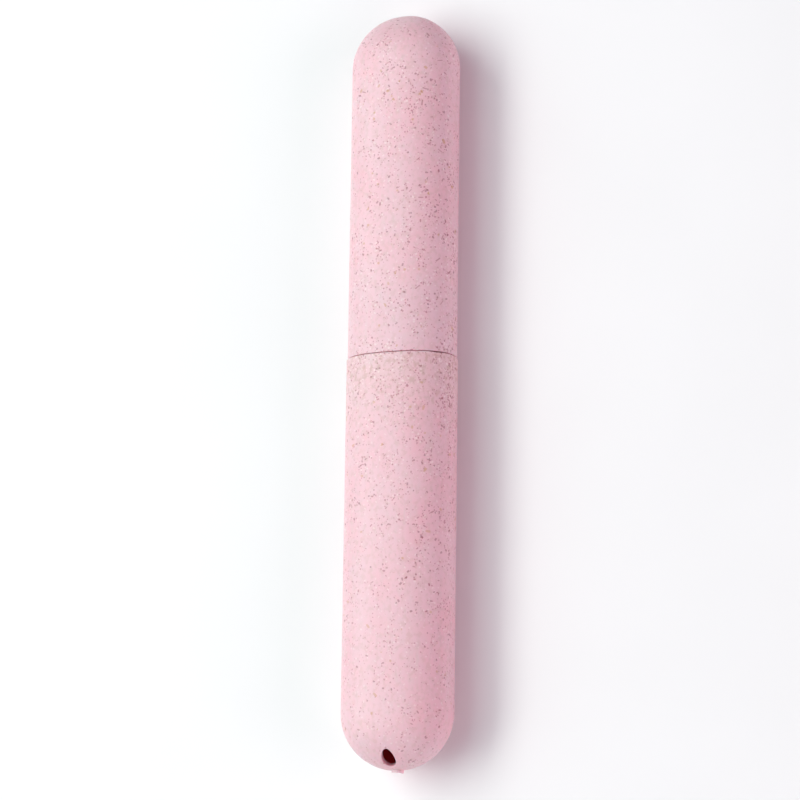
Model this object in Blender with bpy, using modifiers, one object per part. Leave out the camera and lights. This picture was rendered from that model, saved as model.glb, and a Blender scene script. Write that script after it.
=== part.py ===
"""Travel toothbrush case: an oval capsule moulded in two halves.

The longer half is the body. Its neck steps in at the seam, and the cap slides
over it until a low bead on the neck drops into a groove inside the mouth.
The closed case lies on its broad side, with its long axis along Y, the cap
towards +Y and the vent hole in the upper half of the body's dome.
"""

import math

import bpy

# Whole case, in metres
CASE_WIDTH = 0.0300
CASE_THICKNESS = 0.0209
BODY_LENGTH = 0.1090
CAP_LENGTH = 0.0951
SEAM_GAP = 0.0003

# Section: 2 is an ellipse, and a larger power fills out its four shoulders
SECTION_POWER = 2.4

# Walls and fits, from the outside in
CAP_INSET = 0.00025
CAP_RIM_WALL = 0.0009
NECK_CLEARANCE = 0.0003
NECK_WALL = 0.0009
CAP_WALL = 0.0015
BODY_DOME_WALL = 0.0010

# Neck and mouth
NECK_LENGTH = 0.0180
NECK_TIP_CLEARANCE = 0.0005
NECK_LEAD_IN = 0.0004
NECK_LEAD_LENGTH = 0.0012
MOUTH_LEAD_IN = 0.0003
BEAD_HEIGHT = 0.00015
BEAD_LENGTH = 0.0016
BEAD_FROM_SHOULDER = 0.0120

# Outer edges at the seam
EDGE_ROUND = 0.0003

# Vent hole, drawn along the case, and the broken-off gate on the body's pole
VENT_DIAMETER = 0.0037
VENT_FROM_AXIS = 0.0057
GATE_LENGTH = 0.0007
GATE_DIAMETER = 0.0030
GATE_TIP_DIAMETER = 0.0024

# Overrun of the vent's drill past the dome
OVERRUN = 0.0010

# Facets. The sides are two more than a multiple of four, so that the case
# lies on one of them, and not on an edge.
SIDES = 82
DOME_STEPS = 11
HOLLOW_STEPS = 9
EDGE_STEPS = 3
BEAD_STEPS = 4
ROD_SIDES = 32
MERGE_DISTANCE = 0.00001

# Straw-filled plastic
SHELL_COLOUR = (0.83, 0.57, 0.62, 1.0)
SHELL_ROUGHNESS = 0.55

QUARTER_TURN = math.pi / 2
FULL_TURN = 2 * math.pi
SHARP_ANGLE = math.radians(30)

# Half sizes, each one the next surface further in
body_half_width = CASE_WIDTH / 2
body_half_thickness = CASE_THICKNESS / 2
cap_half_width = body_half_width - CAP_INSET
cap_half_thickness = body_half_thickness - CAP_INSET
mouth_half_width = cap_half_width - CAP_RIM_WALL
mouth_half_thickness = cap_half_thickness - CAP_RIM_WALL
neck_half_width = mouth_half_width - NECK_CLEARANCE
neck_half_thickness = mouth_half_thickness - NECK_CLEARANCE
bore_half_width = neck_half_width - NECK_WALL
bore_half_thickness = neck_half_thickness - NECK_WALL
hollow_half_width = cap_half_width - CAP_WALL
hollow_half_thickness = cap_half_thickness - CAP_WALL

# Both domes are half round when seen from above
body_straight = BODY_LENGTH - body_half_width
cap_straight = CAP_LENGTH - cap_half_width
mouth_depth = NECK_LENGTH - SEAM_GAP + NECK_TIP_CLEARANCE

case_length = GATE_LENGTH + BODY_LENGTH + SEAM_GAP + CAP_LENGTH
shoulder_y = GATE_LENGTH + BODY_LENGTH - case_length / 2
axis_height = body_half_thickness


def clear_scene():
    """Remove every object of the scene."""
    for scene_object in list(bpy.data.objects):
        bpy.data.objects.remove(scene_object)


def new_collection(name):
    """Add a collection to the scene."""
    collection = bpy.data.collections.new(name)
    bpy.context.scene.collection.children.link(collection)
    return collection


def dome(half_width, half_thickness, base, reach, steps):
    """Sections of a closed dome, from its base to its pole."""
    sections = []
    for step in range(steps):
        angle = QUARTER_TURN * step / steps
        share = math.cos(angle)
        height = base + reach * math.sin(angle)
        sections.append((half_width * share, half_thickness * share, height))
    sections.append((0, 0, base + reach))
    return sections


def rounded_edge(half_width, half_thickness, face, inward):
    """Sections round an outer edge, from its face to the side wall."""
    sections = []
    for step in range(EDGE_STEPS + 1):
        angle = QUARTER_TURN * step / EDGE_STEPS
        cut_back = EDGE_ROUND * (1 - math.sin(angle))
        height = face + inward * EDGE_ROUND * (1 - math.cos(angle))
        sections.append((half_width - cut_back, half_thickness - cut_back, height))
    return sections


def swell(half_width, half_thickness, middle, length, rise):
    """Sections over a low rounded ridge on a straight wall, from its top down."""
    sections = []
    for step in range(BEAD_STEPS + 1):
        share = step / BEAD_STEPS
        lift = rise * math.sin(math.pi * share)
        height = middle + length / 2 - length * share
        sections.append((half_width + lift, half_thickness + lift, height))
    return sections


def on_oval(angle):
    """Direction of a point of the unit oval: across and through the case.

    The middle facet of each broad side lies at the oval's full thickness.
    """
    power = 2 / SECTION_POWER
    across = math.copysign(abs(math.cos(angle)) ** power, math.cos(angle))
    through = math.copysign(abs(math.sin(angle)) ** power, math.sin(angle))
    middle_facet = math.cos(FULL_TURN / SIDES / 2) ** power
    return across, through / middle_facet


def pressed_shell(name, collection, sections):
    """Turn a shell about Z and press each of its rings to the case's oval.

    A section is a ring's half width, half thickness and height. The sections
    go from one pole of the shell to the other, over the edge of its mouth.
    """
    profile = bpy.data.meshes.new(name)
    points = [(half_width, 0, height) for half_width, _, height in sections]
    edges = [(index, index + 1) for index in range(len(points) - 1)]
    profile.from_pydata(points, edges, [])
    reaches = profile.attributes.new("half_thickness", "FLOAT", "POINT")
    for item, section in zip(reaches.data, sections):
        item.value = section[1]

    shell = bpy.data.objects.new(name, profile)
    collection.objects.link(shell)
    screw = shell.modifiers.new("turn", "SCREW")
    screw.angle = FULL_TURN
    screw.steps = SIDES
    screw.render_steps = SIDES
    screw.use_merge_vertices = True
    screw.merge_threshold = MERGE_DISTANCE
    evaluated = shell.evaluated_get(bpy.context.evaluated_depsgraph_get())
    mesh = bpy.data.meshes.new_from_object(evaluated)
    shell.modifiers.clear()
    shell.data = mesh
    bpy.data.meshes.remove(profile)

    reaches = mesh.attributes["half_thickness"]
    for vertex, item in zip(mesh.vertices, reaches.data):
        half_width = math.hypot(vertex.co.x, vertex.co.y)
        across, through = on_oval(math.atan2(vertex.co.y, vertex.co.x))
        vertex.co.x = half_width * across
        vertex.co.y = item.value * through
    mesh.attributes.remove(reaches)
    mesh.name = name
    mesh.shade_smooth()
    mesh.set_sharp_from_angle(angle=SHARP_ANGLE)
    return shell


def round_rod(name, collection, diameter, tip_diameter, foot, tip, offset):
    """A round rod along Z from its foot down to its tip, beside the axis."""
    bpy.ops.mesh.primitive_cone_add(
        vertices=ROD_SIDES,
        radius1=tip_diameter / 2,
        radius2=diameter / 2,
        depth=foot - tip,
        location=(0, offset, (foot + tip) / 2),
    )
    rod = bpy.context.object
    rod.name = name
    for holder in list(rod.users_collection):
        holder.objects.unlink(rod)
    collection.objects.link(rod)
    return rod


def use_tool(piece, tool, operation):
    """Join a tool to a piece or cut it away, and hide the tool."""
    boolean = piece.modifiers.new(tool.name, "BOOLEAN")
    boolean.operation = operation
    boolean.solver = "EXACT"
    boolean.object = tool
    tool.parent = piece
    tool.hide_render = True
    tool.display_type = "WIRE"


def plastic(name):
    """Matt straw-filled plastic."""
    material = bpy.data.materials.new(name)
    material.use_nodes = True
    shader = material.node_tree.nodes["Principled BSDF"]
    shader.inputs["Base Color"].default_value = SHELL_COLOUR
    shader.inputs["Roughness"].default_value = SHELL_ROUGHNESS
    shader.inputs["Metallic"].default_value = 0
    return material


def lay_down(piece, y):
    """Turn a piece's long axis from Z to Y and set it on its broad side."""
    piece.rotation_euler = (-QUARTER_TURN, 0, 0)
    piece.location = (0, y, axis_height)


def bore_end():
    """Sections of the body's hollow below the shoulder, from its pole up.

    The hollow follows the dome's wall, but is nowhere wider than the bore.
    """
    half_width = body_half_width - BODY_DOME_WALL
    half_thickness = body_half_thickness - BODY_DOME_WALL
    wall = dome(half_width, half_thickness, -body_straight, -half_width, HOLLOW_STEPS)
    sections = []
    for half_width, half_thickness, height in reversed(wall):
        narrowed = min(half_width, bore_half_width)
        flattened = min(half_thickness, bore_half_thickness)
        sections.append((narrowed, flattened, height))
    return sections


def make_body(parts, tools):
    """The longer half: domed tube, neck, bore, gate and vent hole."""
    neck = [
        (bore_half_width, bore_half_thickness, NECK_LENGTH),
        (neck_half_width - NECK_LEAD_IN, neck_half_thickness - NECK_LEAD_IN, NECK_LENGTH),
        (neck_half_width, neck_half_thickness, NECK_LENGTH - NECK_LEAD_LENGTH),
    ]
    neck += swell(
        neck_half_width,
        neck_half_thickness,
        BEAD_FROM_SHOULDER,
        BEAD_LENGTH,
        BEAD_HEIGHT,
    )
    neck.append((neck_half_width, neck_half_thickness, 0))
    shoulder = rounded_edge(body_half_width, body_half_thickness, 0, -1)
    outer_dome = dome(
        body_half_width,
        body_half_thickness,
        -body_straight,
        -body_half_width,
        DOME_STEPS,
    )
    body = pressed_shell("case_body", parts, bore_end() + neck + shoulder + outer_dome)

    gate = round_rod(
        "gate_tool",
        tools,
        GATE_DIAMETER,
        GATE_TIP_DIAMETER,
        BODY_DOME_WALL / 2 - BODY_LENGTH,
        -BODY_LENGTH - GATE_LENGTH,
        0,
    )
    use_tool(body, gate, "UNION")
    vent = round_rod(
        "vent_tool",
        tools,
        VENT_DIAMETER,
        VENT_DIAMETER,
        -body_straight,
        -BODY_LENGTH - OVERRUN,
        -VENT_FROM_AXIS,
    )
    use_tool(body, vent, "DIFFERENCE")

    body.data.materials.append(plastic("body_plastic"))
    lay_down(body, shoulder_y)


def make_cap(parts):
    """The shorter half: domed tube with a wider mouth for the neck."""
    outer_dome = dome(
        cap_half_width,
        cap_half_thickness,
        cap_straight,
        cap_half_width,
        DOME_STEPS,
    )
    rim = rounded_edge(cap_half_width, cap_half_thickness, 0, 1)
    mouth = [
        (mouth_half_width, mouth_half_thickness, mouth_depth),
    ]
    mouth += swell(
        mouth_half_width,
        mouth_half_thickness,
        BEAD_FROM_SHOULDER - SEAM_GAP,
        BEAD_LENGTH + NECK_CLEARANCE + NECK_CLEARANCE,
        BEAD_HEIGHT,
    )
    mouth += [
        (mouth_half_width, mouth_half_thickness, MOUTH_LEAD_IN),
        (mouth_half_width + MOUTH_LEAD_IN, mouth_half_thickness + MOUTH_LEAD_IN, 0),
    ]
    hollow = [(hollow_half_width, hollow_half_thickness, mouth_depth)]
    hollow += dome(
        hollow_half_width,
        hollow_half_thickness,
        cap_straight,
        cap_half_width - CAP_WALL,
        HOLLOW_STEPS,
    )
    outside = outer_dome[::-1] + rim[::-1]
    cap = pressed_shell("case_cap", parts, outside + mouth[::-1] + hollow)
    cap.data.materials.append(plastic("cap_plastic"))
    lay_down(cap, shoulder_y + SEAM_GAP)


def main():
    """Make the two halves."""
    clear_scene()
    parts = new_collection("travel_toothbrush_case")
    tools = new_collection("cutting_and_joining_tools")
    make_body(parts, tools)
    make_cap(parts)


main()
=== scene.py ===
"""Travel toothbrush case that lies closed on a white table.

The case is an oval capsule, moulded in two halves from plastic that is filled
with ground straw. Both halves are drawn here with their fine round edges and
stand for the plainer solids of the frame. Lengths are in metres. X runs across
the case, Y along it from the body to the cap, and Z up through its thickness.
"""

import logging
import math
from collections.abc import Callable, Iterable, Sequence
from dataclasses import dataclass
from enum import Enum

import bmesh
import bpy
from mathutils import Matrix, Vector, noise


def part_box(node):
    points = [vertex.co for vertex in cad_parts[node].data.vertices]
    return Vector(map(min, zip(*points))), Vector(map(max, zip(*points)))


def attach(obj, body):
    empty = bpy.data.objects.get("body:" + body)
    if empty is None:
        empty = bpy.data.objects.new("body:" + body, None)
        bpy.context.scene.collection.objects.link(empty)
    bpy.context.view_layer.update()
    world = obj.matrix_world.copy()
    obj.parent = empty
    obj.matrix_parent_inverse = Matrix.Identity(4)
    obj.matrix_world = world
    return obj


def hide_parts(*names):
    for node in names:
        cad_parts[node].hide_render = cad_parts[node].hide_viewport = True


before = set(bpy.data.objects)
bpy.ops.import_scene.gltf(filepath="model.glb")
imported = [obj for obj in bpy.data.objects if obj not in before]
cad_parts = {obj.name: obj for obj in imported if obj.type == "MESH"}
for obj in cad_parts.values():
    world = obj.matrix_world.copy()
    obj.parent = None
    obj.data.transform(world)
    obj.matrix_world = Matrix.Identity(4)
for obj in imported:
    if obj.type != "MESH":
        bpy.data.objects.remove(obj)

LOG = logging.getLogger("travel_toothbrush_case")
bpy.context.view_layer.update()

MM = 0.001
FULL_TURN = 2 * math.pi
QUARTER_TURN = math.pi / 2

Ring = list[Vector]
Curve = Callable[[float], tuple[float, float]]
Colour = tuple[float, float, float]


class Half(Enum):
    """A half of the case: its CAD body, its node and its material slot."""

    BODY = ("body", "case_body", "body_plastic")
    CAP = ("cap", "case_cap", "cap_plastic")

    @property
    def rides_on(self) -> str:
        """Name of the CAD body that the half moves with."""
        return self.value[0]

    @property
    def node(self) -> str:
        """Name of the half's CAD node."""
        return self.value[1]

    @property
    def slot(self) -> str:
        """Name of the half's material slot."""
        return self.value[2]


# ---------------------------------------------------------------- shapes


@dataclass(frozen=True)
class Oval:
    """Section of the case: an ellipse whose four shoulders are filled out."""

    half_width: float
    half_thickness: float
    power: float = 2.4

    def inset(self, depth: float) -> "Oval":
        """Oval that lies a depth further in on every side."""
        return Oval(self.half_width - depth, self.half_thickness - depth, self.power)

    def point(self, angle: float) -> tuple[float, float]:
        """Place on the rim, across and up from the axis.

        Args:
            angle: Turn round the axis from +X towards +Z, in radians.

        Returns:
            The place's distance across and up.
        """
        across = math.cos(angle)
        up = math.sin(angle)
        size = (abs(across) ** self.power + abs(up) ** self.power) ** (1 / self.power)
        return self.half_width * across / size, self.half_thickness * up / size

    def share(self, across: float, up: float) -> float:
        """How far out a place lies.

        Args:
            across: Its distance across from the axis.
            up: Its distance above the axis.

        Returns:
            0 on the axis and 1 on the rim.
        """
        width_share = abs(across / self.half_width) ** self.power
        height_share = abs(up / self.half_thickness) ** self.power
        return (width_share + height_share) ** (1 / self.power)


@dataclass(frozen=True)
class Dome:
    """Rounded end of a shell, over an oval base."""

    base: Oval
    start: float
    reach: float

    def along(self, across: float, up: float) -> float:
        """Place along Y of the dome's skin over a point of its plan."""
        share = min(1.0, self.base.share(across, up))
        return self.start + self.reach * math.sqrt(1 - share * share)


@dataclass(frozen=True)
class Corner:
    """Corner of a half section, before it is rounded."""

    inset: float
    along: float
    rounding: float = 0.0


@dataclass(frozen=True)
class Turning:
    """Turns half sections of the case into rings of points."""

    outline: Oval
    axis_height: float
    sides: int = 176
    corner_steps: int = 5

    def angles(self) -> list[float]:
        """Turns of a ring's points round the axis."""
        return [FULL_TURN * side / self.sides for side in range(self.sides)]

    def place(self, across: float, along: float, up: float) -> Vector:
        """Point of the frame that lies so far across, along and above the axis."""
        return Vector((across, along, self.axis_height + up))

    def ring(self, inset: float, along: float) -> Ring:
        """Level ring of the outline.

        Args:
            inset: How far in from the outline's outside it lies.
            along: Where it lies along Y.

        Returns:
            The ring's points.
        """
        oval = self.outline.inset(inset)
        points = [oval.point(angle) for angle in self.angles()]
        return [self.place(across, along, up) for across, up in points]

    def rounded(self, corners: Sequence[Corner]) -> list[Ring]:
        """Rings along a half section whose corners are rounded off.

        Args:
            corners: The section's corners in order. The first and last are kept.

        Returns:
            One ring for each sharp corner and several for each round one.
        """
        rings = []
        for index, corner in enumerate(corners):
            if not corner.rounding:
                rings.append(self.ring(corner.inset, corner.along))
                continue
            middle = Vector((corner.inset, corner.along))
            legs = []
            for other in (corners[index - 1], corners[index + 1]):
                leg = Vector((other.inset, other.along)) - middle
                legs.append(middle + leg.normalized() * corner.rounding)
            for step in range(self.corner_steps + 1):
                inset, along = bend(legs[0], middle, legs[1], step / self.corner_steps)
                rings.append(self.ring(inset, along))
        return rings

    def draped(self, dome: Dome, inner: Curve, outer: Curve, steps: int) -> list[Ring]:
        """Rings over a dome, from a curve of its plan out to another.

        Args:
            dome: The skin that the rings lie on.
            inner: Gives the inner curve's place across and up for an angle.
            outer: Gives the outer curve's place in the same way.
            steps: Number of bands between the two curves.

        Returns:
            The rings, closer together towards the outer curve.
        """
        rings = []
        for step in range(steps + 1):
            share = math.sin(QUARTER_TURN * step / steps)
            ring = []
            for angle in self.angles():
                start = Vector(inner(angle))
                across, up = start.lerp(Vector(outer(angle)), share)
                ring.append(self.place(across, dome.along(across, up), up))
            rings.append(ring)
        return rings


def bend(start: Vector, middle: Vector, end: Vector, share: float) -> Vector:
    """Point of the curve that leaves a corner's one leg and joins the other.

    Args:
        start: Where the curve leaves the first leg.
        middle: The corner.
        end: Where it joins the second leg.
        share: How far the point is along the curve, from 0 to 1.

    Returns:
        The point.
    """
    return start.lerp(middle, share).lerp(middle.lerp(end, share), share)


def low_ridge(inset: float, middle: float, length: float, rise: float) -> list[Corner]:
    """Corners of a low rounded ridge on a wall, from its +Y end.

    Args:
        inset: Where the wall lies.
        middle: Where the ridge's top lies along Y.
        length: Length of the ridge along Y.
        rise: How far its top stands out from the wall.

    Returns:
        The corners, with the wall's own at both ends.
    """
    steps = 12
    corners = []
    for step in range(steps + 1):
        share = step / steps
        lift = rise * math.sin(math.pi * share) ** 2
        corners.append(Corner(inset - lift, middle + length / 2 - length * share))
    return corners


class Skin:
    """Closed mesh that is laid over rings of points."""

    def __init__(self, name: str) -> None:
        """Start an empty skin.

        Args:
            name: Name of the piece that it becomes.
        """
        self.name = name
        self.shape = bmesh.new()
        self.loops: list[list[bmesh.types.BMVert]] = []

    def add(self, rings: Iterable[Ring]) -> None:
        """Lay the skin on from the last ring over each of the next ones.

        Args:
            rings: The next rings, in order.
        """
        for ring in rings:
            loop = [self.shape.verts.new(point) for point in ring]
            if self.loops:
                self.join(self.loops[-1], loop)
            self.loops.append(loop)

    def join(self, first: Sequence[bmesh.types.BMVert], second: Sequence[bmesh.types.BMVert]) -> None:
        """Lay a band of four-sided faces between two loops.

        Args:
            first: Corners of the one loop.
            second: Corners of the other, as many and in the same order.
        """
        count = len(first)
        for side in range(count):
            following = (side + 1) % count
            corners = (first[side], first[following], second[following], second[side])
            self.shape.faces.new(corners)

    def close_round(self) -> None:
        """Join the last loop to the first, as on a shell with a hole in its end."""
        self.join(self.loops[-1], self.loops[0])

    def close_ends(self, first: Vector, last: Vector) -> None:
        """Draw the first and the last loop together to a point each.

        Args:
            first: Point that the first loop is drawn to.
            last: Point that the last loop is drawn to.
        """
        for loop, point in ((self.loops[0], first), (self.loops[-1], last)):
            pole = self.shape.verts.new(point)
            for side, corner in enumerate(loop):
                self.shape.faces.new((corner, loop[(side + 1) % len(loop)], pole))

    def finish(self) -> bpy.types.Object:
        """Turn the skin into a smooth object of the scene.

        Returns:
            The object.
        """
        sharp_angle = math.radians(38)
        bmesh.ops.recalc_face_normals(self.shape, faces=self.shape.faces)
        mesh = bpy.data.meshes.new(self.name)
        self.shape.to_mesh(mesh)
        self.shape.free()
        mesh.shade_smooth()
        mesh.set_sharp_from_angle(angle=sharp_angle)
        piece = bpy.data.objects.new(self.name, mesh)
        bpy.context.scene.collection.objects.link(piece)
        return piece


# ---------------------------------------------------------------- finishes


class Signal:
    """Output of a shader node that takes part in Python sums."""

    def __init__(self, recipe: "Recipe", socket: bpy.types.NodeSocket) -> None:
        """Wrap a socket of a recipe."""
        self.recipe = recipe
        self.socket = socket

    def maths(self, operation: str, *values: object) -> "Signal":
        """Add a Math node that works on the values."""
        sockets = dict(enumerate(values))
        return self.recipe.signal("ShaderNodeMath", {"operation": operation}, sockets)

    def __add__(self, other: object) -> "Signal":
        """Sum."""
        return self.maths("ADD", self, other)

    def __radd__(self, other: object) -> "Signal":
        """Sum, with a number first."""
        return self.maths("ADD", other, self)

    def __sub__(self, other: object) -> "Signal":
        """Difference."""
        return self.maths("SUBTRACT", self, other)

    def __rsub__(self, other: object) -> "Signal":
        """Difference, with a number first."""
        return self.maths("SUBTRACT", other, self)

    def __mul__(self, other: object) -> "Signal":
        """Product."""
        return self.maths("MULTIPLY", self, other)

    def __rmul__(self, other: object) -> "Signal":
        """Product, with a number first."""
        return self.maths("MULTIPLY", other, self)

    def __truediv__(self, other: object) -> "Signal":
        """Quotient."""
        return self.maths("DIVIDE", self, other)

    def __pow__(self, other: object) -> "Signal":
        """Power."""
        return self.maths("POWER", self, other)

    def __abs__(self) -> "Signal":
        """Size without its sign."""
        return self.maths("ABSOLUTE", self)

    def below(self, limit: object) -> "Signal":
        """1 where the signal is under a limit, and 0 elsewhere."""
        return self.maths("LESS_THAN", self, limit)

    def root(self) -> "Signal":
        """Square root, and 0 where the signal is negative."""
        return self.maths("SQRT", self.maths("MAXIMUM", self, 0.0))

    def ramp(self, start: object, end: object) -> "Signal":
        """Soft step from 0 at one value to 1 at another.

        Args:
            start: Value at which the step leaves 0.
            end: Value at which it reaches 1. It may be the lower of the two.

        Returns:
            The step.
        """
        settings = {"interpolation_type": "SMOOTHSTEP"}
        sockets = {"Value": self, "From Min": start, "From Max": end}
        return self.recipe.signal("ShaderNodeMapRange", settings, sockets)


class Recipe:
    """Material in the making: adds its nodes and hands out their signals."""

    def __init__(self, name: str) -> None:
        """Start a material with a Principled shader.

        Args:
            name: The material's name.
        """
        self.material = bpy.data.materials.new(name)
        self.material.use_nodes = True
        self.tree = self.material.node_tree
        self.shader = self.tree.nodes["Principled BSDF"]

    def fill(self, node: bpy.types.Node, sockets: dict) -> None:
        """Set or link a node's sockets.

        Args:
            node: The node.
            sockets: A value or signal for each socket's name or number.
        """
        for key, value in sockets.items():
            if isinstance(value, Signal):
                self.tree.links.new(value.socket, node.inputs[key])
            else:
                node.inputs[key].default_value = value

    def node(self, kind: str, settings: dict, sockets: dict) -> bpy.types.Node:
        """Add a node.

        Args:
            kind: The node's type.
            settings: Its settings, which are set before its sockets.
            sockets: A value or signal for each socket's name or number.

        Returns:
            The node.
        """
        node = self.tree.nodes.new(kind)
        for key, value in settings.items():
            setattr(node, key, value)
        self.fill(node, sockets)
        return node

    def signal(self, kind: str, settings: dict, sockets: dict, output: object = 0) -> Signal:
        """Add a node and wrap one of its outputs.

        Args:
            kind: The node's type.
            settings: Its settings.
            sockets: A value or signal for each socket's name or number.
            output: Name or number of the output.

        Returns:
            The output's signal.
        """
        return Signal(self, self.node(kind, settings, sockets).outputs[output])

    def vector(self, operation: str, *values: object, output: object = 0) -> Signal:
        """Add a Vector Math node that works on the values.

        Args:
            operation: The node's operation.
            *values: A value or signal for each of its sockets, in order.
            output: Name or number of the output.

        Returns:
            The output's signal.
        """
        sockets = dict(enumerate(values))
        settings = {"operation": operation}
        return self.signal("ShaderNodeVectorMath", settings, sockets, output)

    def mix(self, mask: Signal, first: object, second: object) -> Signal:
        """Colour that goes from one to another as a mask goes from 0 to 1."""
        settings = {"data_type": "RGBA"}
        return self.signal("ShaderNodeMix", settings, {0: mask, 6: first, 7: second}, 2)

    def place(self) -> Signal:
        """Place on the piece, which moves with it."""
        return self.signal("ShaderNodeTexCoord", {}, {}, "Object")

    def stretched(self, place: Signal, across: float, along: float) -> Signal:
        """Place in units of a grain's size across and along the case."""
        return self.vector("DIVIDE", place, (across, along, across))

    def cloud(self, place: Signal, detail: float = 2.0) -> Signal:
        """Soft noise about 0.5 that has one cloud for each unit of place.

        Args:
            place: Place in units of a cloud's size.
            detail: How many finer layers the noise has.

        Returns:
            The noise.
        """
        settings = {"noise_dimensions": "3D"}
        sockets = {"Vector": place, "Scale": 1.0, "Detail": detail}
        return self.signal("ShaderNodeTexNoise", settings, sockets, "Fac")


def opaque(colour: Colour) -> tuple[float, float, float, float]:
    """Colour with full cover, as a colour socket takes it."""
    return (*colour, 1.0)


@dataclass(frozen=True)
class Scatter:
    """Straw particles of one kind, spread through the plastic.

    The surface cuts them at every angle, so that they show as dots and dashes.
    """

    cell: float
    radius: float
    half_length: float
    share: float
    crowd_share: float
    shift: tuple[float, float, float]
    colour: Colour
    cover: float
    thinnest: float = 0.72
    faintest: float = 0.45

    def mask(self, recipe: Recipe, place: Signal, crowd: Signal) -> Signal:
        """Where the particles show, and how strongly.

        Args:
            recipe: The material.
            place: Place on the piece, in metres.
            crowd: How crowded the particles are here, from 0 to 1.

        Returns:
            0 on plain plastic, and up to 1 on a particle.
        """
        cells = recipe.vector("MULTIPLY_ADD", place, (1 / self.cell,) * 3, self.shift)
        settings = {"voronoi_dimensions": "3D", "feature": "F1"}
        voronoi = recipe.node("ShaderNodeTexVoronoi", settings, {"Vector": cells, "Scale": 1.0})
        middle = Signal(recipe, voronoi.outputs["Position"])
        chance = Signal(recipe, voronoi.outputs["Color"])
        dice = recipe.node("ShaderNodeTexWhiteNoise", {"noise_dimensions": "3D"}, {"Vector": middle})
        pick = Signal(recipe, dice.outputs["Value"])
        tint = Signal(recipe, dice.outputs["Color"])
        strength = recipe.signal("ShaderNodeSeparateColor", {}, {"Color": tint})

        offset = recipe.vector("SUBTRACT", cells, middle)
        heading = recipe.vector("NORMALIZE", recipe.vector("SUBTRACT", chance, (0.5, 0.5, 0.5)))
        along = recipe.vector("DOT_PRODUCT", offset, heading, output="Value")
        square = recipe.vector("DOT_PRODUCT", offset, offset, output="Value")
        across = (square - along * along).root()
        thick = self.radius / self.cell * (self.thinnest + strength)
        long = self.half_length / self.cell
        round_body = across.ramp(thick, thick * 0.6)
        blunt_ends = abs(along).ramp(long, long * 0.75)
        filled = pick.below(self.share + self.crowd_share * crowd)
        return round_body * blunt_ends * filled * (self.faintest + (1 - self.faintest) * strength)


class Straw(Enum):
    """Kinds of ground straw, from the faintest to the darkest."""

    PALE = Scatter(
        0.92 * MM, 0.27 * MM, 0.36 * MM, 0.22, 0.34, (8.3, 1.3, 2.1), (0.95, 0.78, 0.78), 0.70
    )
    DUST = Scatter(
        0.68 * MM, 0.22 * MM, 0.28 * MM, 0.16, 0.32, (5.9, 4.3, 8.7), (0.44, 0.08, 0.14), 0.80
    )
    GOLD = Scatter(
        2.60 * MM, 0.50 * MM, 0.72 * MM, 0.10, 0.22, (1.7, 9.1, 6.3), (0.58, 0.28, 0.07), 0.90
    )
    STEM = Scatter(
        1.60 * MM, 0.27 * MM, 0.90 * MM, 0.11, 0.32, (11.3, 2.9, 5.3), (0.36, 0.06, 0.08), 0.85
    )
    HUSK = Scatter(
        1.10 * MM, 0.41 * MM, 0.44 * MM, 0.04, 0.16, (3.1, 7.7, 1.9), (0.26, 0.015, 0.04), 0.95
    )

    @property
    def fine(self) -> bool:
        """Whether the kind is so fine that it also crowds the dull zone."""
        return self in (Straw.PALE, Straw.DUST)


def outward(
    recipe: Recipe, place: Signal, outline: Oval, axis_height: float
) -> tuple[Signal, Signal]:
    """How far out in the case's section a place lies, and where it lies along it.

    Args:
        recipe: The material.
        place: Place on the piece, in metres.
        outline: Section of the case.
        axis_height: Height of the case's axis.

    Returns:
        The share, which is 0 on the axis and 1 outside, and the place along Y.
    """
    parts = recipe.node("ShaderNodeSeparateXYZ", {}, {"Vector": place})
    across, along, up = (Signal(recipe, parts.outputs[axis]) for axis in "XYZ")
    width_share = (abs(across) / outline.half_width) ** outline.power
    height_share = (abs(up - axis_height) / outline.half_thickness) ** outline.power
    return (width_share + height_share) ** (1 / outline.power), along


@dataclass(frozen=True)
class SeamShade:
    """Painted shade: a thin dark line on the edges that meet at the seam, which stands in for the
    shade in the gap between the halves.

    The shares say how far out a place lies, from 0 on the axis to 1 outside.
    """

    outline: Oval
    axis_height: float
    along: float
    reach: float = 0.7 * MM
    # Colour of the painted shade in the seam's gap.
    colour: Colour = (0.66, 0.18, 0.24)
    outer_share: float = 0.991
    full_share: float = 0.981
    fading_share: float = 0.972
    inner_share: float = 0.960

    def mask(self, recipe: Recipe, place: Signal) -> Signal:
        """Where the painted seam shade lies.

        Args:
            recipe: The material.
            place: Place on the piece, in metres.

        Returns:
            1 where the painted shade is darkest, and 0 on plain plastic.
        """
        share, along = outward(recipe, place, self.outline, self.axis_height)
        near = abs(along - self.along).ramp(self.reach, self.reach / 2)
        outer = share.ramp(self.outer_share, self.full_share)
        return near * outer * share.ramp(self.inner_share, self.fading_share)


@dataclass(frozen=True)
class VentShade:
    """Painted shade on the vent hole's wall and behind it, inside the body's dome."""

    dome: Dome
    axis_height: float
    # Colour of the painted shade in the vent's recess.
    colour: Colour = (0.68, 0.36, 0.41)
    outer_share: float = 0.997
    full_share: float = 0.982

    def mask(self, recipe: Recipe, place: Signal) -> Signal:
        """Where the painted shade lies.

        Args:
            recipe: The material.
            place: Place on the piece, in metres.

        Returns:
            1 inside the dome, and 0 on its outside and along the tube.
        """
        share, along = outward(recipe, place, self.dome.base, self.axis_height)
        into = (along - self.dome.start) / self.dome.reach
        depth_share = (share * share + into * into).root()
        return depth_share.ramp(self.outer_share, self.full_share) * into.ramp(0.1, 0.3)


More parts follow.
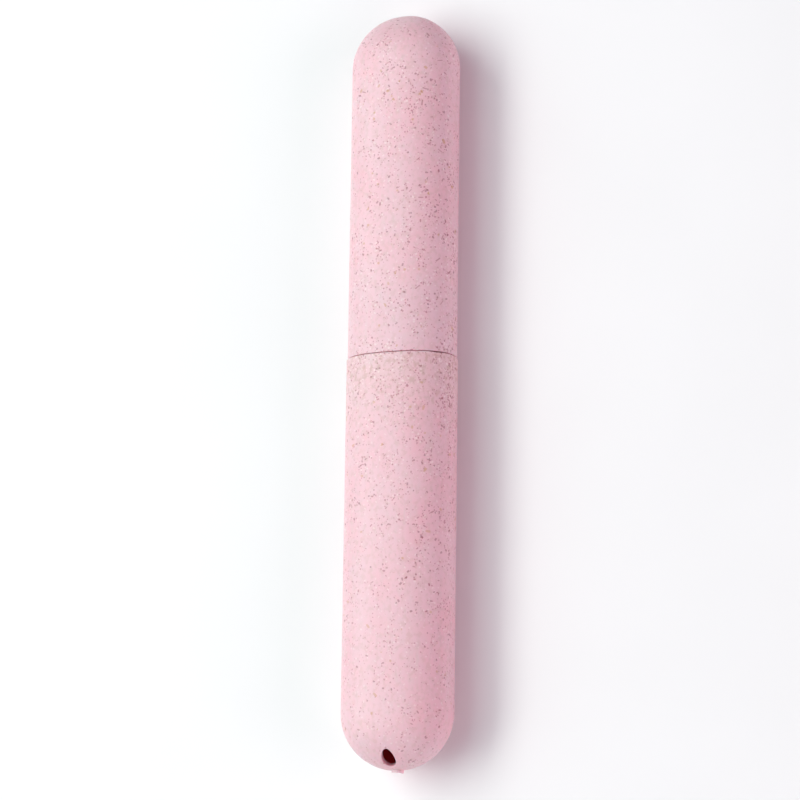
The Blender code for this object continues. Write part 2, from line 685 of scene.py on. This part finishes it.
@dataclass(frozen=True)
class StrawPlastic:
    """Matt pink plastic that is filled with fine ground straw.

    The crowding says how densely the straw lies, and how much that grows for each metre along the
    case (rise) and across it towards +X (shade side). The extra flecks towards +X, the side that lies
    in shade, are painted shade. The plastic is dull and crowded from dull_from, and clean again from
    dull_to.
    """

    name: str
    seam_shade: SeamShade
    vent_shade: VentShade | None = None
    crowding: float = 1.15
    crowding_rise: float = 0.0
    shade_side_crowding: float = 18.0
    colour: Colour = (0.84, 0.55, 0.61)
    grey_colour: Colour = (0.775, 0.56, 0.575)
    rosy_colour: Colour = (0.85, 0.515, 0.58)
    bran_colour: Colour = (0.66, 0.43, 0.41)
    roughness: float = 0.52
    relief_depth: float = 0.03 * MM
    glow: float = 0.45
    glow_reach: tuple[float, float, float] = (1.0, 0.27, 0.33)
    glow_depth: float = 2.0 * MM
    dull_crowding: float = 0.5
    dull_from: float = 0.0
    dull_to: float = 0.0

    def make(self) -> bpy.types.Material:
        """Mix the plastic.

        Returns:
            The material.
        """
        recipe = Recipe(self.name)
        place = recipe.place()
        dull = self.dullness(recipe, place)
        mottle = recipe.cloud(recipe.stretched(place, 1.6 * MM, 3.2 * MM), 3.0)
        grain = recipe.cloud(recipe.stretched(place, 0.22 * MM, 0.22 * MM), 1.0)

        ground = self.ground(recipe, place, dull, mottle)
        colour, masks = self.strewn(recipe, place, dull, ground)
        # Painted shade: the seam's gap is darkened in the colour.
        seam_shade = self.seam_shade.mask(recipe, place)
        colour = recipe.mix(seam_shade, colour, opaque(self.seam_shade.colour))
        # Painted shade: the vent's wall and the dome's inside are darkened.
        if self.vent_shade:
            vent_shade_mask = self.vent_shade.mask(recipe, place)
            colour = recipe.mix(vent_shade_mask, colour, opaque(self.vent_shade.colour))

        coarse = masks[Straw.HUSK] + masks[Straw.STEM]
        rough = self.roughness + (mottle - 0.5) * 0.10 + coarse * 0.10 + seam_shade
        height = grain * 0.6 + mottle * 0.8 - masks[Straw.HUSK] * 0.5 - masks[Straw.STEM] * 0.4
        relief = recipe.signal(
            "ShaderNodeBump",
            {},
            {"Strength": 0.35, "Distance": self.relief_depth, "Height": height},
        )
        recipe.fill(
            recipe.shader,
            {
                "Base Color": colour,
                "Roughness": rough,
                "Normal": relief,
                "IOR": 1.50,
                "Specular IOR Level": 0.70,
                "Subsurface Weight": self.glow,
                "Subsurface Radius": self.glow_reach,
                "Subsurface Scale": self.glow_depth,
            },
        )
        return recipe.material

    def ground(self, recipe: Recipe, place: Signal, dull: Signal, mottle: Signal) -> Signal:
        """Pink between the flecks, with rosy, grey and bran clouds.

        Args:
            recipe: The material.
            place: Place on the piece, in metres.
            dull: How dull the plastic is, from 0 to 1.
            mottle: Soft noise that the grey clouds follow.

        Returns:
            The colour.
        """
        patches = recipe.cloud(recipe.stretched(place, 9 * MM, 16 * MM))
        flow = recipe.cloud(recipe.stretched(place, 0.9 * MM, 30 * MM), 1.0)
        blotch = recipe.cloud(recipe.stretched(place, 1.1 * MM, 1.4 * MM), 2.0)
        rosy = patches.ramp(0.35, 0.70)
        grey = mottle.ramp(0.50, 0.72) * 0.34 + flow.ramp(0.52, 0.75) * 0.25 + dull * 0.50
        bran = blotch.ramp(0.45, 0.70) * (0.36 + 0.54 * dull)
        colour = recipe.mix(rosy, opaque(self.colour), opaque(self.rosy_colour))
        colour = recipe.mix(grey, colour, opaque(self.grey_colour))
        return recipe.mix(bran, colour, opaque(self.bran_colour))

    def strewn(
        self, recipe: Recipe, place: Signal, dull: Signal, colour: Signal
    ) -> tuple[Signal, dict[Straw, Signal]]:
        """Strew every kind of straw over a colour.

        Args:
            recipe: The material.
            place: Place on the piece, in metres.
            dull: How dull the plastic is, from 0 to 1.
            colour: The colour between the flecks.

        Returns:
            The new colour, and a mask for each kind of straw.
        """
        swarm = recipe.cloud(recipe.stretched(place, 4 * MM, 6 * MM))
        crowd = swarm.ramp(0.38, 0.66) * self.crowdedness(recipe, place)
        fine_crowd = crowd + dull * self.dull_crowding
        masks = {}
        for straw in Straw:
            kind = straw.value
            masks[straw] = kind.mask(recipe, place, fine_crowd if straw.fine else crowd)
            colour = recipe.mix(masks[straw] * kind.cover, colour, opaque(kind.colour))
        return colour, masks

    def crowdedness(self, recipe: Recipe, place: Signal) -> Signal:
        """How crowded the straw is, which changes along and across the case. The rise across, towards
        the shaded +X side, is painted shade.

        Args:
            recipe: The material.
            place: Place on the piece, in metres.

        Returns:
            About 1 where the straw is spread as usual.
        """
        parts = recipe.node("ShaderNodeSeparateXYZ", {}, {"Vector": place})
        across, along = (Signal(recipe, parts.outputs[axis]) for axis in "XY")
        # Painted shade: more flecks towards +X, the side that lies in shade.
        return (self.crowding + along * self.crowding_rise) * (across * self.shade_side_crowding + 1)

    def dullness(self, recipe: Recipe, place: Signal) -> Signal:
        """How grey and crowded the plastic is, which fades along the case.

        Args:
            recipe: The material.
            place: Place on the piece, in metres.

        Returns:
            1 where the plastic is dullest, and 0 where it is clean.
        """
        sorted_place = recipe.node("ShaderNodeSeparateXYZ", {}, {"Vector": place})
        along = Signal(recipe, sorted_place.outputs["Y"])
        if self.dull_from == self.dull_to:
            return along * 0.0
        return along.ramp(self.dull_to, self.dull_from)


@dataclass(frozen=True)
class TableTop:
    """Plain white matt board under the case."""

    name: str = "white_board"
    colour: Colour = (0.94, 0.925, 0.935)
    shade_share: float = 0.985
    cloud_size: float = 60 * MM
    roughness: float = 0.9

    def make(self) -> bpy.types.Material:
        """Mix the board's finish.

        Returns:
            The material.
        """
        recipe = Recipe(self.name)
        cloud = recipe.cloud(recipe.stretched(recipe.place(), self.cloud_size, self.cloud_size))
        shade = tuple(channel * self.shade_share for channel in self.colour)
        colour = recipe.mix(cloud.ramp(0.3, 0.7), opaque(self.colour), opaque(shade))
        recipe.fill(
            recipe.shader,
            {"Base Color": colour, "Roughness": self.roughness, "Specular IOR Level": 0.1},
        )
        return recipe.material


# ---------------------------------------------------------------- the case


@dataclass
class Fit:
    """Sizes that the two halves share where they meet. Turns are in degrees."""

    cap_inset: float = 0.25 * MM
    cap_rim_wall: float = 0.90 * MM
    cap_wall: float = 1.50 * MM
    clearance: float = 0.30 * MM
    neck_wall: float = 0.90 * MM
    seam_gap: float = 0.30 * MM
    seam_closing: float = 0.08 * MM
    bead_height: float = 0.15 * MM
    bead_length: float = 1.60 * MM
    bead_from_shoulder: float = 12.0 * MM
    edge_round: float = 0.22 * MM
    seam_tilt: float = 0.04 * MM
    tilt_towards: float = 85.0
    nick_depth: float = 0.22 * MM
    nick_place: float = 38.0
    nick_half_width: float = 7.0

    def rise(self, angle: float) -> float:
        """How far the shoulder stands out of true, which narrows the seam.

        Args:
            angle: Turn round the axis from +X towards +Z, in radians.

        Returns:
            The rise towards the cap. It is negative in the shoulder's nick.
        """
        tilt = self.seam_tilt * math.cos(angle - math.radians(self.tilt_towards))
        off = (math.degrees(angle) - self.nick_place) / self.nick_half_width
        return tilt - self.nick_depth * math.exp(-off * off)

    @property
    def mouth_inset(self) -> float:
        """How far in the cap's mouth lies."""
        return self.cap_inset + self.cap_rim_wall

    @property
    def neck_inset(self) -> float:
        """How far in the neck's outside lies."""
        return self.mouth_inset + self.clearance

    @property
    def bore_inset(self) -> float:
        """How far in the body's bore lies."""
        return self.neck_inset + self.neck_wall


@dataclass
class CaseBody:
    """Longer half: domed tube with a vent hole, a gate stub and a neck."""

    fit: Fit
    dome_wall: float = 1.00 * MM
    vent_radius: float = 1.83 * MM
    vent_stretch: float = 1.18
    vent_height: float = 5.55 * MM
    vent_round: float = 0.18 * MM
    vent_land: float = 1.25 * MM
    vent_flare: float = 0.35 * MM
    vent_tilt: float = 46.0
    gate_length: float = 0.70 * MM
    gate_radius: float = 1.60 * MM
    gate_shift: float = 0.33 * MM
    neck_lead_in: float = 0.40 * MM
    neck_lead_length: float = 1.20 * MM
    dome_steps: int = 46
    hollow_steps: int = 26

    def __post_init__(self) -> None:
        """Take the half's outside sizes from the frame."""
        low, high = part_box(Half.BODY.node)
        cap_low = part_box(Half.CAP.node)[0]
        self.outline = Oval((high[0] - low[0]) / 2, (high[2] - low[2]) / 2)
        self.turning = Turning(self.outline, low[2] + self.outline.half_thickness)
        self.neck_tip = high[1]
        self.pole = low[1] + self.gate_length
        self.shoulder = cap_low[1] - self.fit.seam_gap
        self.straight_end = self.pole + self.outline.half_width
        self.dome = Dome(self.outline, self.straight_end, -self.outline.half_width)
        inside = self.outline.inset(self.dome_wall)
        self.hollow = Dome(inside, self.straight_end, -inside.half_width)

    def vent_way(self, depth: float) -> Vector:
        """Way into the vent hole, which leads inwards and down."""
        tilt = math.radians(self.vent_tilt)
        return Vector((0, depth * math.cos(tilt), -depth * math.sin(tilt)))

    def vent_point(self, radius: float, height: float) -> Curve:
        """Upright oval in the dome's plan, such as the vent hole's outline.

        Args:
            radius: Half of the oval's width.
            height: Height of its middle above the axis.

        Returns:
            The oval, as a function of the angle.
        """

        def point(angle: float) -> tuple[float, float]:
            """Place across and up."""
            up = radius * self.vent_stretch * math.sin(angle)
            return radius * math.cos(angle), height + up

        return point

    def vent_ring(self, dome: Dome, radius: float) -> Ring:
        """Oval round the vent hole's middle that lies on a dome.

        Args:
            dome: The skin that it lies on.
            radius: Half of its width.

        Returns:
            The oval's points.
        """
        point = self.vent_point(radius, self.vent_height)
        ring = []
        for angle in self.turning.angles():
            across, up = point(angle)
            ring.append(self.turning.place(across, dome.along(across, up), up))
        return ring

    def vent_edge(self) -> list[Ring]:
        """Round off the vent hole's outer edge.

        Returns:
            Rings from the hole's wall to the dome.
        """
        edge = self.vent_ring(self.dome, self.vent_radius)
        outside = self.vent_ring(self.dome, self.vent_radius + self.vent_round)
        wall = [point + self.vent_way(self.vent_round) for point in edge]
        rings = [[point + self.vent_way(self.vent_land) for point in edge]]
        steps = self.turning.corner_steps
        for step in range(steps):
            share = step / steps
            ends = zip(wall, edge, outside)
            rings.append([bend(first, middle, last, share) for first, middle, last in ends])
        return rings

    def section(self) -> list[Corner]:
        """Draw half of the body's section.

        Returns:
            Corners from the shoulder over the neck to the bore's end.
        """
        fit = self.fit
        root_round = 0.2 * MM
        tip_round = 0.25 * MM
        lead_start = self.neck_tip - self.neck_lead_length
        bead = low_ridge(
            fit.neck_inset,
            self.shoulder + fit.bead_from_shoulder,
            fit.bead_length,
            fit.bead_height,
        )
        shoulder = self.shoulder + fit.seam_closing
        return [
            Corner(0, shoulder, fit.edge_round),
            Corner(fit.neck_inset, shoulder, root_round),
            *reversed(bead),
            Corner(fit.neck_inset, lead_start, tip_round),
            Corner(fit.neck_inset + self.neck_lead_in, self.neck_tip, tip_round / 2),
            Corner(fit.bore_inset, self.neck_tip, tip_round / 2),
            Corner(fit.bore_inset, self.straight_end),
        ]

    def build(self) -> list[bpy.types.Object]:
        """Make the shell and the gate stub.

        Returns:
            The pieces.
        """
        start = Corner(0, self.straight_end)
        bore = self.outline.inset(self.fit.bore_inset)
        skin = Skin("body_shell")
        skin.add(self.vent_edge())
        clear = self.vent_point(self.vent_radius + self.vent_round, self.vent_height)
        skin.add(self.turning.draped(self.dome, clear, self.outline.point, self.dome_steps))
        skin.add(self.out_of_true(self.turning.rounded([start, *self.section()])[1:]))
        inner_height = self.vent_height + self.vent_way(self.vent_land).z
        through = self.vent_point(self.vent_radius + self.vent_flare, inner_height)
        inner = self.turning.draped(self.hollow, through, bore.point, self.hollow_steps)
        skin.add(reversed(inner))
        skin.close_round()
        self.shell = skin.finish()
        self.gate = self.build_gate()
        return [self.shell, self.gate]

    def out_of_true(self, rings: list[Ring]) -> list[Ring]:
        """Put the shoulder's face out of true.

        Args:
            rings: Rings of the body, whose points near the shoulder move.

        Returns:
            The same rings.
        """
        rises = [self.fit.rise(angle) for angle in self.turning.angles()]
        near = self.shoulder + self.fit.edge_round * 2
        for ring in rings:
            for point, rise in zip(ring, rises):
                if point.y < near:
                    point.y += rise
        return rings

    def build_gate(self) -> bpy.types.Object:
        """Stub of the mould's gate, twisted off unevenly.

        Returns:
            The stub.
        """
        circle = Oval(self.gate_radius, self.gate_radius, 2.0)
        turning = Turning(circle, self.turning.axis_height, sides=48)
        root = self.pole + self.dome_wall / 2
        flare = 0.25 * MM
        wall_steps = 6
        face_steps = 9
        rings = []
        for step in range(wall_steps + 1):
            share = step / wall_steps
            spread = -flare * (1 - share) ** 3
            ring = turning.ring(spread, root)
            rings.append([self.torn(point, share, root) for point in ring])
        for step in range(1, face_steps):
            inset = self.gate_radius * (1 - math.cos(QUARTER_TURN * step / face_steps))
            ring = turning.ring(inset, root)
            rings.append([self.torn(point, 1.0, root) for point in ring])
        skin = Skin("gate_stub")
        skin.add(rings)
        centre = turning.place(0, root, 0)
        skin.close_ends(self.torn(centre, 0.0, root), self.torn(centre, 1.0, root))
        return skin.finish()

    def torn(self, point: Vector, share: float, root: float) -> Vector:
        """Point of the stub, drawn out to its broken face.

        Args:
            point: The point at the stub's root.
            share: How far out it lies: 0 at the root and 1 on the broken face.
            root: Where the root lies along Y.

        Returns:
            The moved point.
        """
        short_length = 0.43 * MM
        step_place = 0.57 * MM
        step_width = 0.30 * MM
        chip_depth = 0.05 * MM
        chips_per_metre = 1500
        tall = min(1.0, max(0.0, (point.x - step_place) / step_width + 0.5))
        length = short_length + (self.gate_length - short_length) * tall
        chipped = chip_depth * (noise.noise(point * chips_per_metre) + 1)
        tip = self.pole - length + chipped
        return Vector((point.x + self.gate_shift, root + (tip - root) * share, point.z))

    def dress(self) -> None:
        """Give the half its plastic, which is duller just below the seam."""
        plastic = StrawPlastic(
            "body_straw_plastic",
            # Painted shade: the seam's gap is darkened in the colour.
            SeamShade(self.outline, self.turning.axis_height, self.shoulder),
            # Painted shade: the vent's wall and the dome's inside are darkened.
            VentShade(self.dome, self.turning.axis_height),
            crowding_rise=6.0,
            dull_from=self.shoulder,
            dull_to=self.shoulder - 24 * MM,
        ).make()
        for piece in (self.shell, self.gate):
            piece.data.materials.append(plastic)
            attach(piece, Half.BODY.rides_on)
        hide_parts(Half.BODY.node)


@dataclass
class CaseCap:
    """Shorter half: domed tube whose mouth slides over the neck."""

    fit: Fit
    outer_inset: float
    turning: Turning
    neck_tip: float
    tip_clearance: float = 0.50 * MM
    mouth_lead_in: float = 0.30 * MM
    dome_steps: int = 40
    hollow_steps: int = 22

    def __post_init__(self) -> None:
        """Take the half's outside sizes from the frame."""
        low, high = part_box(Half.CAP.node)
        self.rim = low[1]
        self.pole = high[1]
        outside = self.turning.outline.inset(self.outer_inset)
        inside = outside.inset(self.fit.cap_wall)
        self.straight_end = self.pole - outside.half_width
        self.dome = Dome(outside, self.straight_end, outside.half_width)
        self.hollow = Dome(inside, self.straight_end, inside.half_width)

    def section(self) -> list[Corner]:
        """Draw half of the cap's section.

        Returns:
            Corners from the dome's base over the rim and into the hollow.
        """
        fit = self.fit
        face_round = 0.1 * MM
        groove = low_ridge(
            fit.mouth_inset,
            self.rim - fit.seam_gap + fit.bead_from_shoulder,
            fit.bead_length + 2 * fit.clearance,
            fit.bead_height,
        )
        hollow_inset = self.outer_inset + fit.cap_wall
        return [
            Corner(self.outer_inset, self.straight_end),
            Corner(self.outer_inset, self.rim, fit.edge_round),
            Corner(fit.mouth_inset - self.mouth_lead_in, self.rim, face_round),
            Corner(fit.mouth_inset, self.rim + self.mouth_lead_in, face_round),
            *reversed(groove),
            Corner(fit.mouth_inset, self.neck_tip + self.tip_clearance, face_round),
            Corner(hollow_inset, self.neck_tip + self.tip_clearance, face_round),
            Corner(hollow_inset, self.straight_end),
        ]

    def build(self) -> list[bpy.types.Object]:
        """Make the shell.

        Returns:
            The piece.
        """
        seed = 0.02

        def near_pole(dome: Dome) -> Curve:
            """Small oval round the dome's pole, as a function of the angle."""
            middle = Oval(dome.base.half_width * seed, dome.base.half_thickness * seed)
            return middle.point

        outer, inner = (
            self.turning.draped(dome, near_pole(dome), dome.base.point, steps)
            for dome, steps in ((self.dome, self.dome_steps), (self.hollow, self.hollow_steps))
        )
        skin = Skin("cap_shell")
        skin.add(outer)
        skin.add(self.turning.rounded(self.section())[1:-1])
        skin.add(reversed(inner))
        skin.close_ends(
            self.turning.place(0, self.pole, 0),
            self.turning.place(0, self.hollow.along(0, 0), 0),
        )
        self.shell = skin.finish()
        return [self.shell]

    def dress(self) -> None:
        """Give the half its plastic."""
        # Painted shade: the seam's gap is darkened in the colour.
        seam_shade = SeamShade(self.dome.base, self.turning.axis_height, self.rim)
        plastic = StrawPlastic("cap_straw_plastic", seam_shade)
        self.shell.data.materials.append(plastic.make())
        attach(self.shell, Half.CAP.rides_on)
        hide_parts(Half.CAP.node)


# ---------------------------------------------------------------- the studio


@dataclass(frozen=True)
class Viewpoint:
    """Camera over the case, leaning to one side of it and to the body's end.

    The leans and turns are in degrees, and the lens is a share of the sensor.
    """

    distance: float = 0.889
    side_lean: float = 22.1
    end_lean: float = 12.0
    yaw: float = 0.03
    pitch: float = 11.75
    roll: float = 0.80
    lens_share: float = 4.184
    sensor: float = 36.0

    def build(self, middle: Vector) -> bpy.types.Object:
        """Set up the camera.

        Args:
            middle: Middle of the case's axis.

        Returns:
            The camera.
        """
        lean = math.radians(self.end_lean)
        lift = Vector((0, -math.sin(lean), math.cos(lean))) * self.distance
        side = Matrix.Rotation(math.radians(self.side_lean), 4, "Y")
        turn = (
            Matrix.Rotation(math.radians(self.yaw), 4, "Y")
            @ Matrix.Rotation(math.radians(self.pitch), 4, "X")
            @ Matrix.Rotation(math.radians(self.roll), 4, "Z")
        )
        data = bpy.data.cameras.new("camera")
        data.sensor_width = self.sensor
        data.lens = self.sensor * self.lens_share
        camera = bpy.data.objects.new("camera", data)
        bpy.context.scene.collection.objects.link(camera)
        camera.matrix_world = Matrix.Translation(middle + side @ lift) @ side @ turn
        bpy.context.scene.camera = camera
        return camera


@dataclass(frozen=True)
class Softbox:
    """Large flat lamp that is turned to the case. Its place is in degrees."""

    name: str
    elevation: float
    bearing: float
    width: float
    height: float
    power: float
    colour: Colour = (1.0, 1.0, 1.0)
    distance: float = 1.3

    def build(self) -> bpy.types.Object:
        """Set up the lamp.

        Returns:
            The lamp.
        """
        elevation = math.radians(self.elevation)
        bearing = math.radians(self.bearing)
        flat = math.cos(elevation)
        way = Vector((flat * math.cos(bearing), flat * math.sin(bearing), math.sin(elevation)))
        data = bpy.data.lights.new(self.name, "AREA")
        data.shape = "RECTANGLE"
        data.size = self.width
        data.size_y = self.height
        data.energy = self.power
        data.color = self.colour
        lamp = bpy.data.objects.new(self.name, data)
        lamp.location = way * self.distance
        lamp.rotation_euler = way.to_track_quat("Z", "Y").to_euler()
        bpy.context.scene.collection.objects.link(lamp)
        return lamp


@dataclass(frozen=True)
class Studio:
    """White table, soft lamps mostly from the left and even light from all round."""

    lamps: tuple[Softbox, ...] = (
        Softbox("key_lamp", 50, 170, 1.50, 0.45, 9.2, (1.0, 1.0, 0.95)),
        Softbox("halo_lamp", 52, 170, 2.00, 1.80, 15.3, (0.81, 1.0, 0.95)),
        Softbox("end_lamp", 25, 285, 0.90, 0.60, 2.8, (0.90, 1.0, 0.90)),
        Softbox("side_lamp", 25, 350, 0.90, 0.60, 5.4, (1.0, 0.71, 0.82)),
    )
    table_half_size: float = 3.0
    sky_colour: Colour = (0.95, 0.79, 1.0)
    sky_strength: float = 0.185

    def build(self) -> None:
        """Set up the table, the lamps and the world."""
        half = self.table_half_size
        mesh = bpy.data.meshes.new("table")
        corners = [(-half, -half, 0), (half, -half, 0), (half, half, 0), (-half, half, 0)]
        mesh.from_pydata(corners, [], [(0, 1, 2, 3)])
        mesh.materials.append(TableTop().make())
        table = bpy.data.objects.new("table", mesh)
        bpy.context.scene.collection.objects.link(table)
        for lamp in self.lamps:
            lamp.build()
        world = bpy.data.worlds.new("studio")
        bpy.context.scene.world = world
        world.use_nodes = True
        background = world.node_tree.nodes["Background"]
        background.inputs["Color"].default_value = opaque(self.sky_colour)
        background.inputs["Strength"].default_value = self.sky_strength
        bpy.context.scene.view_settings.view_transform = "Standard"


def main() -> None:
    """Build the case and the studio, and report each piece."""
    logging.basicConfig(level=logging.INFO, format="%(message)s")
    fit = Fit()
    body = CaseBody(fit)
    cap = CaseCap(fit, fit.cap_inset, body.turning, body.neck_tip)
    for half in (body, cap):
        for piece in half.build():
            LOG.info("%s: %d faces", piece.name, len(piece.data.polygons))
        half.dress()
    Studio().build()
    middle = Vector((0, (body.pole + cap.pole) / 2, body.turning.axis_height))
    Viewpoint().build(middle)


if __name__ == "__main__":
    main()
